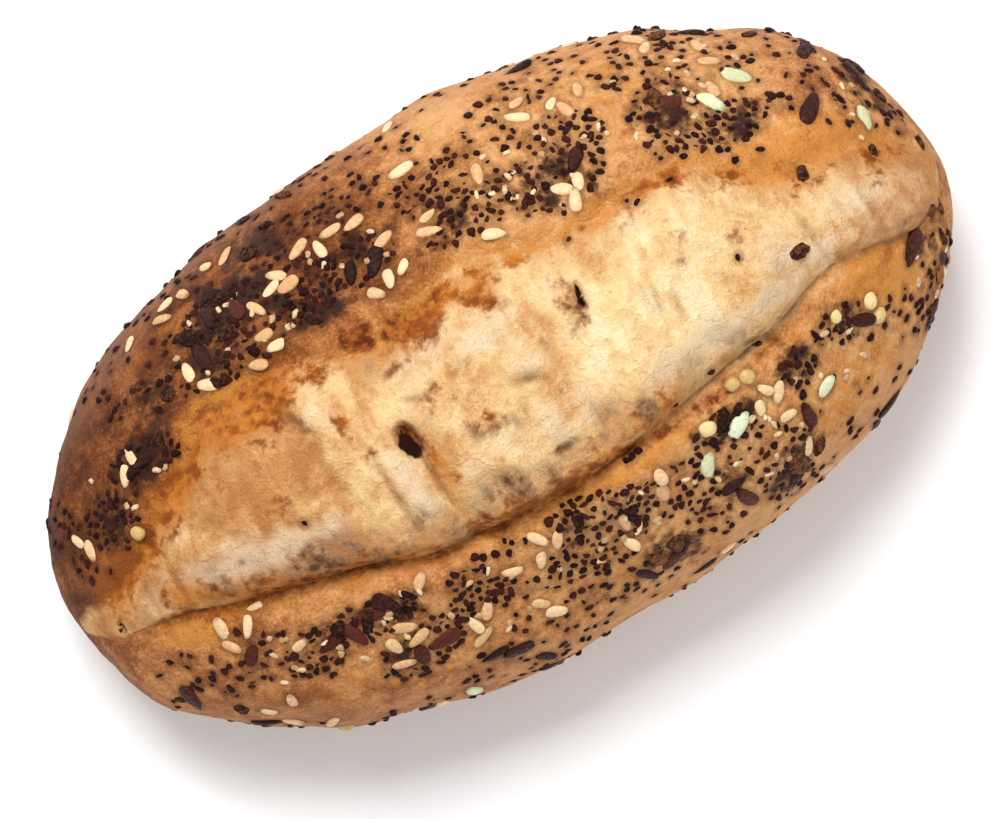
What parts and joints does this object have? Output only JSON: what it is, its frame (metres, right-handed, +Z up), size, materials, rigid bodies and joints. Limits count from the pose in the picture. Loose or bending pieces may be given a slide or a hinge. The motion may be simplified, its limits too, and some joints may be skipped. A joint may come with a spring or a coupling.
{
  "type": "seeded bread roll",
  "caption": "Long oval bread roll with a seeded crust that has burst open along its top over paler dough.",
  "frame": {"origin": "middle of the flat base that the roll rests on", "axes": "+X along the roll, +Y across it towards the burst's shallow edge, +Z up through the burst"},
  "size_m": [0.1304, 0.0746, 0.0465],
  "materials": {
    "crust": "baked bread crust, golden brown and matte, paler and creamy where the dough burst through",
    "sesame": "toasted sesame seed, pale cream with a slight sheen",
    "millet": "millet grain, pale yellow green and smooth",
    "hulled": "hulled seed, pale green and matte",
    "linseed": "brown linseed, dark and glossy",
    "poppy": "poppy seed, near black and matte"
  },
  "bodies": {
    "root": {"roll": "crust"}
  },
  "joints": []
}
